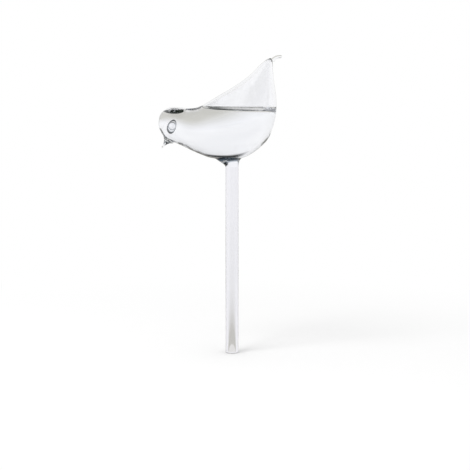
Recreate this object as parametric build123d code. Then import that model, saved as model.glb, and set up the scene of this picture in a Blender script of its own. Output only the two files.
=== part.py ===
from build123d import *
from build123d.topology import SkipClean
import math
import os

# A watering globe: a hollow bird blown from clear glass, on a glass stem that is pushed into
# the soil of a plant pot. Sizes are in millimetres. +Z is up along the stem, and the origin is
# the centre of the stem's open tip. The bird looks towards -X, and its left side is at -Y.

# Stem, a straight length of glass tube
stem_diameter = 12.0
stem_wall = 1.5
stem_length = 170.5
tip_rounding = 0.45
bore_radius = stem_diameter / 2 - stem_wall

# Neck, the thick glass where the bulb is sealed to the stem
neck_height = 6.3
funnel_radius = 4.0

# Bulb, the blown bird, measured over the outside of the glass
bulb_length = 106.0
bulb_height = 91.0
bulb_width = 54.0
bulb_wall = 1.4
bulb_base = stem_length + neck_height

# Beak, a solid cone drawn out to a fine point. It hangs from the level by its lean.
beak_length = 9.4
beak_root_radius = 5.4
beak_lean = 52.0

# Eyes, flat dots of glass with a round rim. They lean back from upright.
eye_width = 7.0
eye_height = 7.6
eye_thickness = 3.0
eye_rounding = 1.3
eye_lean = 16.0

# Tail nib, the curled drop that is left where the tail was drawn off
nib_root_radius = 1.8
nib_end_radius = 1.2
nib_rise = 3.8
nib_reach = 7.6
nib_lean = 60.0

# The bird's outline, from the head to the tail. Each row is one ring of the bulb: its top point
# on the back, its bottom point on the belly, and its width. Places along X are shares of the
# bulb's length from the stem, heights are shares of its height, widths of its width.
ring_shares = [
    (-0.622, 0.392, -0.623, 0.360, 0.055),
    (-0.615, 0.431, -0.620, 0.321, 0.178),
    (-0.594, 0.471, -0.609, 0.286, 0.304),
    (-0.552, 0.507, -0.589, 0.246, 0.430),
    (-0.491, 0.522, -0.543, 0.199, 0.507),
    (-0.406, 0.513, -0.453, 0.155, 0.555),
    (-0.311, 0.514, -0.335, 0.090, 0.715),
    (-0.236, 0.549, -0.245, 0.045, 0.840),
    (-0.160, 0.601, -0.151, 0.014, 0.944),
    (-0.085, 0.653, 0.038, 0.007, 1.000),
    (-0.019, 0.698, 0.189, 0.077, 1.000),
    (0.047, 0.747, 0.302, 0.200, 0.944),
    (0.078, 0.771, 0.337, 0.288, 0.880),
    (0.108, 0.797, 0.361, 0.370, 0.796),
    (0.165, 0.851, 0.378, 0.552, 0.593),
    (0.212, 0.906, 0.363, 0.727, 0.389),
    (0.258, 0.956, 0.347, 0.863, 0.230),
    (0.297, 0.988, 0.345, 0.936, 0.122),
]
head_front_share = (-0.6235, 0.376)
tail_end_share = (0.335, 0.995)

# The collar's rings, from the stem up into the bulb: height as a share of the neck's, then the
# reach towards the head, towards the tail and to each side as shares of the stem's diameter
collar_shares = [
    (0.0, 0.50, 0.50, 0.50),
    (0.25, 0.56, 0.50, 0.52),
    (0.55, 0.76, 0.52, 0.57),
    (0.85, 1.00, 0.56, 0.64),
    (1.2, 1.28, 0.69, 0.74),
    (1.5, 1.55, 0.90, 0.84),
    (1.8, 1.75, 1.05, 0.92),
]

# Places on the bulb, as shares of its length and height
eye_place_share = (-0.501, 0.337)
beak_place_share = (-0.541, 0.205)
nib_place_share = (0.341, 0.974)

# The beak's side, from its root to its point: shares of the root's radius and of the length
beak_side_shares = [(1.0, 0.0), (0.70, 0.14), (0.40, 0.36), (0.22, 0.60), (0.15, 0.88), (0.0, 1.0)]

across = Vector(0, 1, 0)


def on_bulb(x_share, z_share):
    """A point of the bulb's middle plane."""
    return Vector(x_share * bulb_length, 0, bulb_base + z_share * bulb_height)


def drawn_in(line, inset):
    """The inner points of an outline, moved square to it. The line's two ends are left out."""
    moved = []
    for before, point, after in zip(line, line[1:], line[2:]):
        moved.append(point + (after - before).normalized().cross(across) * inset)
    return moved


def bulb_form(inset):
    """The bulb's solid form, or the form of the hollow in it where the inset is the wall."""
    head, tail = on_bulb(*head_front_share), on_bulb(*tail_end_share)
    tops = [on_bulb(row[0], row[1]) for row in ring_shares]
    bottoms = [on_bulb(row[2], row[3]) for row in ring_shares]
    middles = [head, *((top + bottom) / 2 for top, bottom in zip(tops, bottoms)), tail]
    half_widths = [0, *(row[4] * bulb_width / 2 for row in ring_shares), 0]
    tops = drawn_in([head, *tops, tail], -inset)
    bottoms = drawn_in([head, *bottoms, tail], inset)
    rings = []
    for i, (top, bottom) in enumerate(zip(tops, bottoms), 1):
        along = (middles[i + 1] - middles[i - 1]).length
        widening = half_widths[i + 1] - half_widths[i - 1]
        half_width = half_widths[i] - inset * along / math.hypot(along, widening)
        up = top - bottom
        plane = Plane(origin=(top + bottom) / 2, x_dir=up, z_dir=up.cross(across))
        rings.append(plane * Ellipse(up.length / 2, half_width))
    head += (middles[1] - head).normalized() * inset
    tail += (middles[-2] - tail).normalized() * inset
    return loft([Vertex(*head), *rings, Vertex(*tail)])


def bulb_passage():
    """The clear way from the stem's tip into the bulb, with a funnel where they meet."""
    middle = bulb_base + bulb_height / 2
    joined = bulb_form(bulb_wall) + extrude(Circle(bore_radius), middle)
    curves = joined.edges().filter_by(GeomType.BSPLINE)
    meeting = [edge for edge in curves if edge.bounding_box().max.Z < middle]
    return fillet(meeting, funnel_radius)


def surface_at(place_share, direction):
    """Where a line from inside the bulb leaves it, and which way its surface faces there."""
    line = Axis(on_bulb(*place_share), direction)
    return bulb.shell().find_intersection_points(line)[-1]


def make_body_shell():
    """The blown wall. Its skin is kept in two halves, which meet along the back and belly."""
    shell = bulb - passage
    left, right = split(shell, Plane.XZ, Keep.TOP), split(shell, Plane.XZ, Keep.BOTTOM)
    with SkipClean():
        return left.solid().fuse(right.solid())


def make_neck_collar():
    """The flared glass between the stem and the bulb, drawn further out towards the head."""
    rings = []
    for height, ahead, behind, aside in collar_shares:
        centre = Vector((behind - ahead) * stem_diameter / 2, 0, stem_length + height * neck_height)
        ring = Ellipse((ahead + behind) * stem_diameter / 2, aside * stem_diameter)
        rings.append(Plane(origin=centre) * ring)
    return loft(rings) - bulb - passage


def make_stem_tube():
    """The stem, up to the seal, with its tip rounded in the flame."""
    tube = extrude(Circle(stem_diameter / 2) - Circle(bore_radius), stem_length)
    tip = tube.edges().group_by(Axis.Z)[0]
    return fillet(tip, tip_rounding)


def make_beak():
    """A solid cone whose root is sunk into the head by the wall, then cut to fit outside it."""
    side = [(radius * beak_root_radius, along * beak_length) for radius, along in beak_side_shares]
    straight = (beak_root_radius, -bulb_wall)
    start = (0, -bulb_wall)
    outline = [
        Line(side[-1], start),
        Line(start, straight),
        Line(straight, side[0]),
        Spline(side, tangents=[(-1, 1), (-1, 0)]),
    ]
    cone = revolve(Plane.XZ * make_face(outline), Axis.Z)
    lean = math.radians(beak_lean)
    forward = Vector(-math.cos(lean), 0, -math.sin(lean))
    root, _ = surface_at(beak_place_share, forward)
    return Plane(origin=root, x_dir=across, z_dir=forward) * cone - bulb


def make_left_eye():
    """A dot of glass pressed on the head, standing up by half its thickness."""
    point, facing = surface_at(eye_place_share, -across)
    lean = math.radians(eye_lean)
    place = Plane(origin=point, x_dir=Vector(math.sin(lean), 0, math.cos(lean)), z_dir=facing)
    dot = extrude(place * Ellipse(eye_height / 2, eye_width / 2), eye_thickness / 2, both=True)
    rims = dot.edges().filter_by(GeomType.ELLIPSE)
    return fillet(rims, eye_rounding) - bulb


def make_tail_nib():
    """A tapered curl with a round end, set on the tail's tip."""
    root = on_bulb(*nib_place_share)
    end = root + Vector(nib_reach, 0, nib_rise)
    lean = math.radians(nib_lean)
    path = TangentArc(root, end, tangent=Vector(math.cos(lean), 0, math.sin(lean)))
    sections = [
        Plane(origin=path @ 0, z_dir=path % 0) * Circle(nib_root_radius),
        Plane(origin=path @ 1, z_dir=path % 1) * Circle(nib_end_radius),
    ]
    curl = sweep(sections, path=path, multisection=True)
    return curl + Pos(*end) * Sphere(nib_end_radius) - bulb


bulb = bulb_form(0)
passage = bulb_passage()
left_eye = make_left_eye()

pieces = {
    "body_shell": make_body_shell(),
    "neck_collar": make_neck_collar(),
    "stem_tube": make_stem_tube(),
    "beak": make_beak(),
    "left_eye": left_eye,
    "right_eye": mirror(left_eye, Plane.XZ),
    "tail_nib": make_tail_nib(),
}
os.makedirs("parts", exist_ok=True)
for name, piece in pieces.items():
    export_step(piece, f"parts/{name}.step")
    print(name, round(piece.volume), "mm3")
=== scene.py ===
import math

import bmesh
import bpy
from mathutils import Matrix, Vector, kdtree


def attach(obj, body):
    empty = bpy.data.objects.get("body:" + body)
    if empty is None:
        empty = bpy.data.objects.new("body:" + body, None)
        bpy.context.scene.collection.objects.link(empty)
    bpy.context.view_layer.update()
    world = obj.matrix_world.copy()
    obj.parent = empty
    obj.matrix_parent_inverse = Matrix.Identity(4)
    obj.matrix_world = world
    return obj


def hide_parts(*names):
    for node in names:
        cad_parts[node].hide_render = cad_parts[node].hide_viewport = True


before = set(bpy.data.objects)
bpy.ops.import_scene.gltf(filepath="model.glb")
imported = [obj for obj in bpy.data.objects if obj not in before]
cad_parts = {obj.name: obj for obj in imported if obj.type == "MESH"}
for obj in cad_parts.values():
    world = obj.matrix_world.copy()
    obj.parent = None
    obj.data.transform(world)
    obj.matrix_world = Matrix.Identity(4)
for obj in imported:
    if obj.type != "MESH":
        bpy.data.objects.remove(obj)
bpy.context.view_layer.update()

# Blown bulb
# The bird is one bubble of clear lamp glass, blown to a thin wall and pulled into a head and a
# tail. The wall has two skins, and the only way in is the neck, cut through it underneath.

mm = 0.001
stem_length = 170.5 * mm
neck_height = 6.3 * mm
bulb_length = 106 * mm
bulb_height = 91 * mm
bulb_width = 54 * mm
bulb_wall = 1.4 * mm
bulb_base = stem_length + neck_height
across = Vector((0, 1, 0))

# Rings from the head to the tail: top x, top z, bottom x, bottom z, width. Places are shares of
# the bulb's length and height, widths are shares of its width.
ring_shares = [
    (-0.622, 0.392, -0.623, 0.360, 0.055),
    (-0.615, 0.431, -0.620, 0.321, 0.178),
    (-0.594, 0.471, -0.609, 0.286, 0.304),
    (-0.552, 0.507, -0.589, 0.246, 0.430),
    (-0.491, 0.522, -0.543, 0.199, 0.507),
    (-0.406, 0.513, -0.453, 0.155, 0.555),
    (-0.311, 0.514, -0.335, 0.090, 0.715),
    (-0.236, 0.549, -0.245, 0.045, 0.840),
    (-0.160, 0.601, -0.151, 0.014, 0.944),
    (-0.085, 0.653, 0.038, 0.007, 1.000),
    (-0.019, 0.698, 0.189, 0.077, 1.000),
    (0.047, 0.747, 0.302, 0.200, 0.944),
    (0.078, 0.771, 0.337, 0.288, 0.880),
    (0.108, 0.797, 0.361, 0.370, 0.796),
    (0.165, 0.851, 0.378, 0.552, 0.593),
    (0.212, 0.906, 0.363, 0.727, 0.389),
    (0.258, 0.956, 0.347, 0.863, 0.230),
    (0.297, 0.988, 0.345, 0.936, 0.122),
]
head_front = (-0.6235, 0.376, 0)
tail_end = (0.335, 0.995, 0)
settling_rounds = 60


def smooth_line(points, steps, closed=False):
    """Points in even steps on the smooth curve that passes through these points."""
    count = len(points)
    points = [Vector(point) for point in points]
    pulls = list(points)

    def pull(i):
        if closed:
            return pulls[i % count]
        if i < 0:
            return 2 * pulls[0] - pulls[1]
        return pulls[i] if i < count else 2 * pulls[-1] - pulls[-2]

    for _ in range(settling_rounds):
        reached = [(pull(i - 1) + 4 * pull(i) + pull(i + 1)) / 6 for i in range(count)]
        pulls = [pulls[i] + points[i] - reached[i] for i in range(count)]
    line = []
    for i in range(count if closed else count - 1):
        for step in range(steps):
            t = step / steps
            weights = [(1 - t) ** 3, 3 * t**3 - 6 * t**2 + 4, -3 * t**3 + 3 * t**2 + 3 * t + 1, t**3]
            near = [pull(i - 1), pull(i), pull(i + 1), pull(i + 2)]
            line.append(sum((w * p for w, p in zip(weights, near)), 0 * points[0]) / 6)
    return line if closed else line + [points[-1]]


# One loop round the bird's middle plane, up over the back and home along the belly. The third
# value is the width, which changes sign at the two ends.
backs = [(row[0], row[1], row[4]) for row in ring_shares]
bellies = [(row[2], row[3], -row[4]) for row in ring_shares]
ring_steps = 8
ring_segments = 128
outline = smooth_line([head_front, *backs, tail_end, *reversed(bellies)], ring_steps, closed=True)
ring_count = len(outline) // 2


def outwards(bm):
    """Turns all the faces of a closed form outwards."""
    bm.normal_update()
    bmesh.ops.recalc_face_normals(bm, faces=bm.faces)
    bm.normal_update()


def bulb_form(depth):
    """The bird's closed form, drawn in all over by a depth."""
    bm = bmesh.new()
    bmesh.ops.create_uvsphere(bm, u_segments=ring_segments, v_segments=ring_count, radius=1)
    for vert in bm.verts:
        ring = round(math.acos(max(-1, min(1, vert.co.z))) / math.pi * ring_count)
        turn = math.atan2(vert.co.y, vert.co.x)
        back, belly = outline[ring % len(outline)], outline[-ring % len(outline)]
        top = Vector((back[0] * bulb_length, 0, bulb_base + back[1] * bulb_height))
        bottom = Vector((belly[0] * bulb_length, 0, bulb_base + belly[1] * bulb_height))
        half_width = (back[2] - belly[2]) / 2 * bulb_width / 2
        up = (top - bottom) / 2
        vert.co = (top + bottom) / 2 + up * math.cos(turn) + across * half_width * math.sin(turn)
    outwards(bm)
    for vert in bm.verts:
        vert.co -= vert.normal * depth
    return bm


def made(bm, name):
    """An object for a finished bmesh, smooth all over."""
    for face in bm.faces:
        face.smooth = True
    mesh = bpy.data.meshes.new(name)
    bm.to_mesh(mesh)
    bm.free()
    piece = bpy.data.objects.new(name, mesh)
    bpy.context.scene.collection.objects.link(piece)
    return piece


def worked(piece, bm=None, operation="DIFFERENCE"):
    """The piece with its modifiers made real, and with another form cut away from it or joined."""
    other = made(bm, "tool") if bm else None
    if other:
        cut = piece.modifiers.new("cut", "BOOLEAN")
        cut.object, cut.operation, cut.solver = other, operation, "EXACT"
    view = bpy.context.evaluated_depsgraph_get()
    piece.data = bpy.data.meshes.new_from_object(piece.evaluated_get(view))
    piece.modifiers.clear()
    if other:
        bpy.data.objects.remove(other)
    return piece


stem_radius = 6 * mm
bore_radius = 4.5 * mm
funnel_radius = 4 * mm
funnel_steps = 12
funnel_start = bulb_base - bulb_wall
funnel_top = funnel_start + 1.5 * funnel_radius
passage_foot = 150 * mm
weld = 0.001 * mm


def spun_form(profile, turns=96):
    """A closed form turned round the upright axis from a side of (radius, height) points."""
    bm = bmesh.new()
    verts = [bm.verts.new((radius, 0, height)) for radius, height in profile]
    edges = [bm.edges.new(pair) for pair in zip(verts, verts[1:])]
    bmesh.ops.spin(bm, geom=verts + edges, cent=(0, 0, 0), axis=(0, 0, 1),
                   angle=math.tau, steps=turns, use_merge=True)
    bmesh.ops.remove_doubles(bm, verts=bm.verts, dist=weld)
    outwards(bm)
    return bm


def passage_form(grown=0, foot=passage_foot):
    """The clear way up the stem and through the neck, which opens as a funnel into the bulb."""
    bore = bore_radius + grown
    side = [(0, foot), (bore, foot)]
    for step in range(funnel_steps + 1):
        turn = step / funnel_steps * math.pi / 2
        side.append((bore + funnel_radius * (1 - math.cos(turn)),
                     funnel_start + funnel_radius * math.sin(turn)))
    return spun_form([*side, (bore + funnel_radius, funnel_top), (0, funnel_top)])


def node(tree, kind, inputs={}, **settings):
    """A new node of a tree, with its inputs set to values or linked from other nodes."""
    new = tree.nodes.new("ShaderNode" + kind)
    for name, value in settings.items():
        setattr(new, name, value)
    for name, value in inputs.items():
        if isinstance(value, bpy.types.NodeSocket):
            tree.links.new(value, new.inputs[name])
        else:
            new.inputs[name].default_value = value
    return new


def shader_group(name, inputs, output, kind):
    """A new node group with named inputs and one output. Gives back its tree, the sockets of its
    inputs and the socket that its result goes to."""
    tree = bpy.data.node_groups.new(name, "ShaderNodeTree")
    for socket, socket_kind in inputs.items():
        tree.interface.new_socket(socket, in_out="INPUT", socket_type="NodeSocket" + socket_kind)
    tree.interface.new_socket(output, in_out="OUTPUT", socket_type="NodeSocket" + kind)
    given = tree.nodes.new("NodeGroupInput").outputs
    return tree, given, tree.nodes.new("NodeGroupOutput").inputs[output]


ripples, given, height = shader_group(
    "ripples of worked glass", {"Scale": "Float", "Draw": "Float"}, "Height", "Float")
spot = node(ripples, "TexCoord").outputs["Object"]
stretch = node(ripples, "CombineXYZ", {"X": 1, "Y": 1, "Z": given["Draw"]}).outputs[0]
stretched = node(ripples, "VectorMath", {0: spot, 1: stretch}, operation="MULTIPLY").outputs[0]
broad = node(ripples, "TexNoise", {"Vector": stretched, "Scale": given["Scale"],
                                   "Detail": 2, "Roughness": 0.35})
ripples.links.new(broad.outputs["Fac"], height)

clear_tint = (0.98, 0.983, 0.995)


def glass(name, scale, draw, depth, ior=1.47, tint=clear_tint, mirror=1):
    """Clear glass, faintly violet, with soft ripples. The mirror value is the share that is left
    of its reflection straight ahead."""
    material = bpy.data.materials.new(name)
    material.use_nodes = True
    tree = material.node_tree
    shader = tree.nodes["Principled BSDF"]
    ripple = node(tree, "Group", {"Scale": scale, "Draw": draw}, node_tree=ripples)
    bump = node(tree, "Bump", {"Strength": 1, "Distance": depth, "Height": ripple.outputs["Height"]})
    tree.links.new(bump.outputs["Normal"], shader.inputs["Normal"])
    for socket, value in (("Base Color", (*tint, 1)), ("Roughness", 0), ("Metallic", 0),
                          ("IOR", ior), ("Transmission Weight", 1),
                          ("Specular Tint", (mirror, mirror, mirror, 1))):
        shader.inputs[socket].default_value = value
    return material


sharp_from = math.radians(50)


def placed(piece, material, *cad_nodes):
    """Gives a piece its material and its place in the frame, and hides the nodes that it stands for.
    """
    piece.data.materials.clear()
    piece.data.materials.append(material)
    piece.data.set_sharp_from_angle(angle=sharp_from)
    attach(piece, "root")
    if cad_nodes:
        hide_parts(*cad_nodes)
    return piece


blown_glass = glass("blown clear glass", scale=45, draw=1, depth=0.05 * mm)
bulb = made(bulb_form(0), "blown_bulb")
wall = bulb.modifiers.new("wall", "SOLIDIFY")
wall.thickness, wall.offset, wall.use_even_offset = bulb_wall, -1, True
worked(bulb)
worked(bulb, passage_form())
placed(bulb, blown_glass, "body_shell")

# Neck seal
# Thick glass run in between the bulb and the stem while both were soft. It flares up into the
# belly, furthest on the side of the head, and its top is tinted dark grey as painted shade.

# Rings up the seal: height as a share of the neck's, then the reach towards the head, towards the
# tail and to each side as shares of the stem's diameter. The first is just under the stem's top.
collar_shares = [
    (-0.003, 0.50, 0.50, 0.50),
    (0.25, 0.56, 0.50, 0.52),
    (0.55, 0.76, 0.52, 0.57),
    (0.85, 1.00, 0.56, 0.64),
    (1.2, 1.28, 0.69, 0.74),
    (1.5, 1.55, 0.90, 0.84),
    (1.8, 1.75, 1.05, 0.92),
]
collar_steps = 4
fused_depth = 0.25 * mm  # how far a piece of glass runs into the bulb where they are fused
# Where the top of the seal turns dark, and how dark: painted shade for the dark band that the glass
# shows at the joint.
seal_shade_start = bulb_base - 0.8 * mm
seal_shade_end = bulb_base + 0.4 * mm
seal_tint = (0.97, 0.97, 1, 1)
seal_painted_shade = (0.17, 0.215, 0.26, 1)


def ringed_form(places, segments=64):
    """A closed form through round rings, each given as the matrix that places a unit circle."""
    bm = bmesh.new()
    rings = []
    for place in places:
        ring = bmesh.ops.create_circle(bm, segments=segments, radius=1, matrix=place)["verts"]
        rings.append(list({edge for vert in ring for edge in vert.link_edges}))
    for ring, following in zip(rings, rings[1:]):
        bmesh.ops.bridge_loops(bm, edges=ring + following)
    for end in (rings[0], rings[-1]):
        bmesh.ops.contextual_create(bm, geom=end)
    outwards(bm)
    return bm


def blend(tree, share, first, last):
    """A colour between two others."""
    mixed = node(tree, "Mix", {"Factor": share, 6: first, 7: last}, data_type="RGBA")
    return mixed.outputs[2]


def fade(tree, source, low, high, first, last):
    """A colour that changes evenly from one to another as the source goes from low to high."""
    share = node(tree, "MapRange", {"Value": source, "From Min": low, "From Max": high},
                 interpolation_type="SMOOTHSTEP")
    return blend(tree, share.outputs["Result"], first, last)


tint_change, given, tint = shader_group(
    "change of tint", {"Source": "Float", "Low": "Float", "High": "Float",
                       "First": "Color", "Last": "Color"}, "Tint", "Color")
changed = fade(tint_change, given["Source"], given["Low"], given["High"],
               given["First"], given["Last"])
tint_change.links.new(changed, tint)


def tinted(material, source, low, high, first, last):
    """Lets the glass's tint change from one to another as the source goes from low to high."""
    tree = material.node_tree
    change = node(tree, "Group", {"Source": source, "Low": low, "High": high,
                                  "First": first, "Last": last}, node_tree=tint_change)
    tree.links.new(change.outputs["Tint"], tree.nodes["Principled BSDF"].inputs["Base Color"])


collar_places = []
for height, ahead, behind, aside in smooth_line(collar_shares, collar_steps):
    centre = Vector(((behind - ahead) * stem_radius, 0, stem_length + height * neck_height))
    reach = (ahead + behind) * stem_radius
    side = 2 * aside * stem_radius
    collar_places.append(Matrix.Translation(centre) @ Matrix.Diagonal((reach, side, 1, 1)))
seal = made(ringed_form(collar_places), "neck_seal")
worked(seal, bulb_form(fused_depth))
worked(seal, passage_form())
seal_glass = glass("glass of the seal", scale=160, draw=1, depth=0.04 * mm)
spot = node(seal_glass.node_tree, "TexCoord").outputs["Object"]
height = node(seal_glass.node_tree, "SeparateXYZ", {0: spot}).outputs["Z"]
# The seal's top is tinted dark as painted shade.
tinted(seal_glass, height, seal_shade_start, seal_shade_end, seal_tint, seal_painted_shade)
placed(seal, seal_glass, "neck_collar")

# Stem
# A straight length of drawn glass tube, a little greyer than the bulb. Its open tip is rounded in
# the flame, and its top is fused into the neck.

tip_rounding = 0.45 * mm
stem_top = stem_length + 0.02 * mm
tip_height = 1 * mm
level_within = 0.1 * mm

drawn_glass = glass("drawn glass tube", scale=260, draw=0.03, depth=0.01 * mm,
                    tint=(0.905, 0.90, 0.93))
stem_form = spun_form([(bore_radius, 0), (stem_radius, 0), (stem_radius, stem_top),
                       (bore_radius, stem_top), (bore_radius, 0)])
tip_edges = [edge for edge in stem_form.edges
             if all(vert.co.z < tip_height for vert in edge.verts)
             and abs(edge.verts[0].co.length - edge.verts[1].co.length) < level_within]
bmesh.ops.bevel(stem_form, geom=tip_edges, offset=tip_rounding, segments=5, profile=0.5,
                affect="EDGES", material=-1)
outwards(stem_form)
stem = placed(made(stem_form, "stem"), drawn_glass, "stem_tube")

# Beak
# A solid cone of glass, touched on to the front of the head and drawn off downwards. A tiny drop
# stays on its thin end, and dark streaks are painted in its root as painted shade.

beak_length = 9.4 * mm
beak_root_radius = 5.4 * mm
beak_lean = math.radians(52)
beak_place = (-0.541, 0.205)
beak_side_shares = [(1.0, 0.0), (0.70, 0.14), (0.42, 0.34), (0.23, 0.56), (0.12, 0.74),
                    (0.10, 0.84), (0.15, 0.92), (0.11, 0.98), (0.0, 1.0)]
# Dark streaks in the beak's root: painted shade for the dark lines that the glass shows there.
beak_steps = 4
streaks_per_metre = 600
streak_edge = (0.42, 0.54)
streak_painted_shade = (0.22, 0.25, 0.27, 1)
streaks_end = 4 * mm
beak_clear_from = 6.5 * mm
outside = 200 * mm  # how far out the lines start that look for the bird's skin


def skin_at(place_share, way):
    """Where a line from inside the bulb leaves its outer skin, and the way the skin faces."""
    inside = Vector((place_share[0] * bulb_length, 0, bulb_base + place_share[1] * bulb_height))
    _, point, facing, _ = bulb.ray_cast(inside + way * outside, -way)
    return point, facing


def set_at(bm, point, up, facing):
    """Turns and moves a form made upright at the origin, so that it stands on a point."""
    aside = up.cross(facing).normalized()
    turn = Matrix((facing.cross(aside), aside, facing)).transposed().to_4x4()
    bmesh.ops.transform(bm, matrix=Matrix.Translation(point) @ turn, verts=bm.verts)
    return bm


def distance_from(tree, place, spot):
    """How far a spot lies from a fixed place."""
    return node(tree, "VectorMath", {0: spot, 1: place}, operation="DISTANCE").outputs["Value"]


beak_way = Vector((-math.cos(beak_lean), 0, -math.sin(beak_lean)))
beak_root, _ = skin_at(beak_place, beak_way)
beak_side = [(radius * beak_root_radius, along * beak_length)
             for radius, along in smooth_line(beak_side_shares, beak_steps)]
beak_form = spun_form([(0, -bulb_wall), (beak_root_radius, -bulb_wall), *beak_side])
beak = made(set_at(beak_form, beak_root, across, beak_way), "beak_cone")
worked(beak, bulb_form(fused_depth))
beak_glass = glass("glass of the beak", scale=160, draw=1, depth=0.04 * mm)
tree = beak_glass.node_tree
spot = node(tree, "TexCoord").outputs["Object"]
# Painted shade: dark streaks that fade out away from the root.
streak = node(tree, "TexNoise", {"Vector": spot, "Scale": streaks_per_metre, "Detail": 1})
streaked = fade(tree, streak.outputs["Fac"], *streak_edge, streak_painted_shade, (*clear_tint, 1))
tinted(beak_glass, distance_from(tree, beak_root, spot), streaks_end, beak_clear_from,
       streaked, (*clear_tint, 1))
placed(beak, beak_glass, "beak")

# Eyes
# Two dots of glass, pressed flat on the sides of the head while soft, so their rims are round.
# Their rims are tinted dark grey, a painted shade for the dark ring that the glass shows round each
# eye.

eye_width = 7.0 * mm
eye_height = 7.6 * mm
eye_thickness = 3.0 * mm
eye_rounding = 1.3 * mm
eye_lean = math.radians(16)
eye_place = (-0.501, 0.337)
eye_middle = (eye_place[0] * bulb_length, 0, bulb_base + eye_place[1] * bulb_height)
# The rims are tinted dark: painted shade for the dark ring round each eye.
rim_start = 2.6 * mm
rim_end = 3.3 * mm
rim_painted_shade = (0.36, 0.39, 0.42, 1)

eye_glass = glass("glass of the eyes", scale=160, draw=1, depth=0.04 * mm)
tree = eye_glass.node_tree
spot = node(tree, "TexCoord").outputs["Object"]
side_on = node(tree, "VectorMath", {0: spot, 1: (1, 0, 1)}, operation="MULTIPLY").outputs[0]
# Dark rims as painted shade.
tinted(eye_glass, distance_from(tree, eye_middle, side_on), rim_start, rim_end,
       (*clear_tint, 1), rim_painted_shade)

for name, cad_eye, aside in (("left_eye_dot", "left_eye", -across),
                             ("right_eye_dot", "right_eye", across)):
    eye_form = bmesh.new()
    size = Matrix.Diagonal((eye_height / 2, eye_width / 2, eye_thickness, 1))
    bmesh.ops.create_cone(eye_form, cap_ends=True, segments=72, radius1=1, radius2=1, depth=1,
                          matrix=size)
    rims = [edge for edge in eye_form.edges
            if edge.verts[0].co.z * edge.verts[1].co.z > 0]
    bmesh.ops.bevel(eye_form, geom=rims, offset=eye_rounding, segments=10, profile=0.5,
                    affect="EDGES", material=-1)
    point, facing = skin_at(eye_place, aside)
    lean = Vector((math.sin(eye_lean), 0, math.cos(eye_lean)))
    dot = made(set_at(eye_form, point, lean, facing), name)
    worked(dot, bulb_form(fused_depth))
    placed(dot, eye_glass, cad_eye)

# Tail nib
# The drop that is left where the tail was drawn off in the flame. It curled over as it cooled,
# and its end drew itself round.

nib_root_radius = 1.8 * mm
nib_end_radius = 1.2 * mm
nib_reach = 7.6 * mm
nib_rise = 3.8 * mm
nib_lean = math.radians(60)
nib_place = (0.341, 0.974)
nib_steps = 24
nib_end_steps = 8
nib_end_turn = math.radians(86)

nib_root = Vector((nib_place[0] * bulb_length, 0, bulb_base + nib_place[1] * bulb_height))
chord = Vector((nib_reach, 0, nib_rise))
first_way = Vector((math.cos(nib_lean), 0, math.sin(nib_lean)))
bend = 2 * first_way.angle(chord)
bend_radius = chord.length / 2 / math.sin(bend / 2)
bend_centre = nib_root + first_way.cross(across) * -bend_radius

nib_places = []
for step in range(nib_steps + 1):
    share = step / nib_steps
    turn = Matrix.Rotation(bend * share, 4, "Y")
    radius = nib_root_radius + (nib_end_radius - nib_root_radius) * share
    centre = bend_centre + turn @ (nib_root - bend_centre)
    way = turn @ first_way
    nib_places.append((centre, way, radius))
for step in range(1, nib_end_steps + 1):
    turn = step / nib_end_steps * nib_end_turn
    nib_places.append((centre + way * nib_end_radius * math.sin(turn), way,
                       nib_end_radius * math.cos(turn)))
nib_rings = []
for centre, way, radius in nib_places:
    turn = Matrix((way.cross(across), across, way)).transposed().to_4x4()
    nib_rings.append(Matrix.Translation(centre) @ turn @ Matrix.Scale(radius, 4))
nib = made(ringed_form(nib_rings, 48), "tail_curl")
worked(nib, bulb_form(fused_depth))
nib_glass = glass("glass of the nib", scale=160, draw=1, depth=0.04 * mm)
placed(nib, nib_glass, "tail_nib")

# Water
# It fills the stem and the lower bird. Air stands over it in the back, and a bubble is caught in
# the top of the head. All round its edge the water climbs the glass a little.

wetting = 0.15 * mm  # how far the water's skin lies inside the glass, so that no air shows between
water_foot = 0.6 * mm
water_level = 219.5 * mm
climb = 5.0 * mm
pull_length = 2.7 * mm  # the length over which the surface of still water bends
upright = math.sqrt(2) * pull_length  # over this height a thin film clings to the glass
least_height = 0.001 * mm
halvings = 16
back_air_middle = Vector((14.5, 0, 0)) * mm
back_air_half = (45.5 * mm, 30 * mm)
back_air_height = 80 * mm
flat = 0.999  # a face that looks up by at least this share is part of the water's surface
flat_within = 0.01 * mm

water = made(bulb_form(bulb_wall - wetting), "water")
worked(water, passage_form(wetting, water_foot), "UNION")

shore_height = Vector((0, 0, water_level + climb))
back_air = bmesh.new()
bmesh.ops.create_grid(back_air, x_segments=180, y_segments=120, size=1,
                      matrix=Matrix.Translation(back_air_middle + shore_height)
                      @ Matrix.Diagonal((*back_air_half, 1, 1)))
lid = bmesh.ops.extrude_face_region(back_air, geom=back_air.faces[:], use_keep_orig=True)["geom"]
bmesh.ops.translate(back_air, vec=(0, 0, back_air_height),
                    verts=[part for part in lid if isinstance(part, bmesh.types.BMVert)])
outwards(back_air)
worked(water, back_air)


def off_glass(height):
    """How far from the glass still water stands at a height over its level."""
    def run(over_level):
        share = over_level / pull_length
        return math.acosh(2 / share) - math.sqrt(4 - share * share)
    return pull_length * (run(height) - run(upright))


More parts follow.
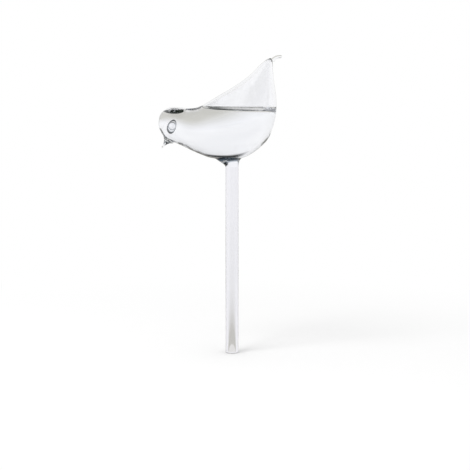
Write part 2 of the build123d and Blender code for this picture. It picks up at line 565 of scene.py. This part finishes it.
# The flat cut is at the height that the water reaches on the glass. Away from the glass it sinks
# to its level.
water_form = bmesh.new()
water_form.from_mesh(water.data)
water_form.normal_update()
surface = {face for face in water_form.faces if face.normal.z > flat
           and abs(face.calc_center_median().z - water_level - climb) < flat_within}
surface_verts = {vert for face in surface for vert in face.verts}
shore = [vert for vert in surface_verts if not surface.issuperset(vert.link_faces)]
shore_tree = kdtree.KDTree(len(shore))
for i, vert in enumerate(shore):
    shore_tree.insert(vert.co, i)
shore_tree.balance()
open_water = list(surface_verts.difference(shore))
for vert in open_water:
    off = shore_tree.find(vert.co)[2]
    low, high = least_height, upright
    for _ in range(halvings):
        height = (low + high) / 2
        if off_glass(height) > off:
            low = height
        else:
            high = height
    vert.co.z += height - climb
bmesh.ops.smooth_vert(water_form, verts=open_water, factor=0.5, use_axis_z=True)
for face in water_form.faces:
    face.smooth = True
water_form.to_mesh(water.data)
water_form.free()

# The bubble is shaped like the hull of a small boat, flat along and with a keel.
bubble_middle = Vector((-50.9, 0, 222.4)) * mm
bubble_half = Vector((11.0, 6.5, 6.0)) * mm
bubble_top = 20 * mm
bubble_ends = 3
bubble_keel = 1.3
least_room = 1e-6
bubble = bmesh.new()
bmesh.ops.create_uvsphere(bubble, u_segments=96, v_segments=64, radius=1)
for vert in bubble.verts:
    along = abs(vert.co.x)
    aside = min(1, abs(vert.co.y) / math.sqrt(max(least_room, 1 - along ** 2)))
    depth = math.sqrt(max(0, 1 - along ** bubble_ends)) * (1 - aside ** bubble_keel) * bubble_half.z
    height = -depth if vert.co.z < 0 else bubble_top * vert.co.z
    vert.co = bubble_middle + Vector((vert.co.x * bubble_half.x, vert.co.y * bubble_half.y, height))
outwards(bubble)
worked(water, bubble)

clear_water = glass("still water", scale=30, draw=1, depth=0, ior=1.333, tint=(1, 1, 1), mirror=0)
tree = clear_water.node_tree
absorb = node(tree, "VolumeAbsorption", {"Color": (0.80, 0.84, 0.9, 1), "Density": 3})
tree.links.new(absorb.outputs["Volume"], tree.nodes["Material Output"].inputs["Volume"])
placed(water, clear_water)

# Glass mirrors next to nothing where water lies on it, so its wetted faces have their own glass.
wet_glass = glass("glass under water", scale=45, draw=1, depth=0.05 * mm, mirror=0)
for piece in (bulb, seal, stem):
    piece.data.materials.append(wet_glass)
    for face in piece.data.polygons:
        beside = face.center + face.normal * 2 * wetting
        _, skin, facing, _ = water.closest_point_on_mesh(beside)
        if (beside - skin).dot(facing) < 0:
            face.material_index = 1

# Floor
# Plain pale paper under the stem's tip, which runs on into white. To rays from the glass the
# paper glows in painted tones instead, a painted reflection: grey a little way off, and dark under
# the bird and just before it.

floor_radius = 6
white_from = (0.12, 0.5)
paper_grey = (0.64, 0.63, 0.58, 1)
grey_nearness = (0, 1.3)
near_grey = (0.88, 0.87, 0.83, 1)
near_nearness = (2.6, 3.8)
# A dark tone that glass sees on the paper under the bird and before it, a painted reflection.
painted_dark_spot = (0.015, 0.02, 0.015, 1)
spot_middle = (-0.055, 0.02, 0)
spot_edge = (0.15, 0.21)
before_bird_end = (0.42, 0.55)
before_bird_side = (-0.25, -0.05)
dark_seen_over = (0.12, 0.14)  # glass lower down, on the stem, sees the paper without its dark


def grey(tone):
    return (tone, tone, tone, 1)


def maths(tree, operation, first, second):
    """The result of one sum on two values."""
    return node(tree, "Math", {0: first, 1: second}, operation=operation).outputs[0]


def seen_ray(tree):
    """One for what the camera sees, straight or by way of the glass, and nought for the light."""
    rays = node(tree, "LightPath").outputs
    unbent = maths(tree, "MAXIMUM", rays["Is Camera Ray"], rays["Is Glossy Ray"])
    return maths(tree, "MAXIMUM", unbent, rays["Is Transmission Ray"])


floor_form = bmesh.new()
bmesh.ops.create_circle(floor_form, cap_ends=True, segments=96, radius=floor_radius)
floor = made(floor_form, "floor")
paper = bpy.data.materials.new("pale paper")
paper.use_nodes = True
tree = paper.node_tree
tree.nodes.remove(tree.nodes["Principled BSDF"])
rays = node(tree, "LightPath").outputs
straight = rays["Is Camera Ray"]
spot = node(tree, "TexCoord").outputs["Object"]
away = distance_from(tree, (0, 0, 0), spot)

# The paper itself, as the camera and the light see it
matt = node(tree, "BsdfDiffuse", {"Color": grey(0.8)})
lift = node(tree, "Emission", {"Color": straight, "Strength": 0.22})
lit = node(tree, "AddShader", {0: matt.outputs[0], 1: lift.outputs[0]})
glow = node(tree, "Emission", {"Color": grey(1)})
far_share = fade(tree, away, *white_from, grey(0), blend(tree, straight, grey(0), grey(1)))
plain = node(tree, "MixShader", {0: far_share, 1: lit.outputs[0], 2: glow.outputs[0]})

# The paper as glass sees it, painted: from its tone all round to a painted dark under the bird and
# before it
nearness = maths(tree, "DIVIDE", 1, away)
table = fade(tree, nearness, *grey_nearness, grey(1), paper_grey)
table = fade(tree, nearness, *near_nearness, table, near_grey)
spot_y = node(tree, "SeparateXYZ", {0: spot}).outputs["Y"]
before_bird = fade(tree, away, *before_bird_end, painted_dark_spot, table)
under_bird = fade(tree, spot_y, *before_bird_side, before_bird, table)
off_middle = distance_from(tree, spot_middle, spot)
under_bird = fade(tree, off_middle, *spot_edge, painted_dark_spot, under_bird)

# A ray's length and the place where it lands tell the height that it comes from
length_square = maths(tree, "MULTIPLY", rays["Ray Length"], rays["Ray Length"])
away_square = maths(tree, "MULTIPLY", away, away)
start_square = maths(tree, "SUBTRACT", length_square, away_square)
low_start, high_start = (height ** 2 for height in dark_seen_over)
by_glass = fade(tree, start_square, low_start, high_start, table, under_bird)
# To glass the paper glows in these painted tones, a painted reflection.
shown = node(tree, "Emission", {"Color": by_glass})
indirect = maths(tree, "SUBTRACT", seen_ray(tree), straight)
seen = node(tree, "MixShader", {0: indirect, 1: plain.outputs[0], 2: shown.outputs[0]})
tree.links.new(seen.outputs[0], tree.nodes["Material Output"].inputs["Surface"])
floor.data.materials.append(paper)

# Light
# One soft box over the bird's head, on the camera's side. It lights the floor and casts the
# shadow, and the glass doesn't show it.

lamp = bpy.data.lights.new("soft box", "AREA")
lamp.shape, lamp.size, lamp.size_y, lamp.energy = "RECTANGLE", 1, 1, 14
box = bpy.data.objects.new("soft box", lamp)
box.location = (-0.9, -0.9, 1.6)
box_aim = Vector((0, 0, 0.15))
box.rotation_euler = (box_aim - box.location).to_track_quat("-Z", "Y").to_euler()
box.visible_glossy = box.visible_transmission = False
bpy.context.scene.collection.objects.link(box)

# Room
# Through the glass the room is white behind the bird, at both sides and low at the right in front.
# The rest of its front is dim, and its ceiling is dark but for the part towards the head.
# Mirrored on the glass it is dark blue on the camera's side and grey behind.

dim = grey(0.02)
white = grey(1)
ceiling_way = (-0.2, 0, 1)  # the ceiling is what lies far along this way
ceiling_from = (0.55, 0.67)

world = bpy.data.worlds.new("white room")
bpy.context.scene.world = world
world.use_nodes = True
tree = world.node_tree
rays = node(tree, "LightPath").outputs
way = node(tree, "TexCoord").outputs["Generated"]
parts = node(tree, "SeparateXYZ", {0: way}).outputs
upwards = node(tree, "VectorMath", {0: way, 1: ceiling_way}, operation="DOT_PRODUCT").outputs["Value"]
ceiling = fade(tree, parts["X"], -0.35, -0.10, grey(0.9), dim)
left = fade(tree, parts["Y"], -0.5, -0.3, dim, white)
left = fade(tree, parts["X"], -0.55, -0.25, left, dim)
front_right = fade(tree, parts["Y"], -0.6, -0.45, white, dim)
front_right = fade(tree, parts["Z"], 0.15, 0.3, front_right, dim)
right = fade(tree, parts["Y"], -0.15, 0.1, front_right, white)
sides = fade(tree, parts["X"], 0.25, 0.45, left, right)
backdrop = fade(tree, parts["Y"], 0.25, 0.55, sides, white)
through = fade(tree, upwards, *ceiling_from, backdrop, ceiling)
before = fade(tree, parts["Y"], -0.45, 0.25, (0, 0, 0.10, 1), grey(0.7))
mirrored = fade(tree, upwards, *ceiling_from, before, ceiling)
tone = blend(tree, rays["Is Transmission Ray"], mirrored, through)
tone = blend(tree, rays["Is Camera Ray"], tone, white)
room = node(tree, "Background", {"Color": tone, "Strength": 1})
even = tree.nodes["Background"]
even.inputs["Color"].default_value = white
even.inputs["Strength"].default_value = 0.75
lighting = node(tree, "MixShader", {0: seen_ray(tree), 1: even.outputs[0], 2: room.outputs[0]})
tree.links.new(lighting.outputs[0], tree.nodes["World Output"].inputs["Surface"])

# Camera
# It stands level with the water, just over a metre off, and tips down to the stem a little above
# the stem's middle.

camera = bpy.data.cameras.new("camera")
camera.sensor_width = 36
camera.lens = 91.9
stand = bpy.data.objects.new("camera", camera)
tip = math.radians(6)
distance = 1.092
aim = Vector((2.7 * mm, 0, 108.5 * mm))
back = Vector((0, -math.cos(tip), math.sin(tip)))
stand.location = aim + back * distance
stand.rotation_euler = (-back).to_track_quat("-Z", "Y").to_euler()
bpy.context.scene.collection.objects.link(stand)
bpy.context.scene.camera = stand
bpy.context.scene.view_settings.view_transform = "Standard"

# Light turns round many times inside the neck and the nape before it gets out.
bounces = 40
light = bpy.context.scene.cycles
light.max_bounces = light.transmission_bounces = light.glossy_bounces = bounces
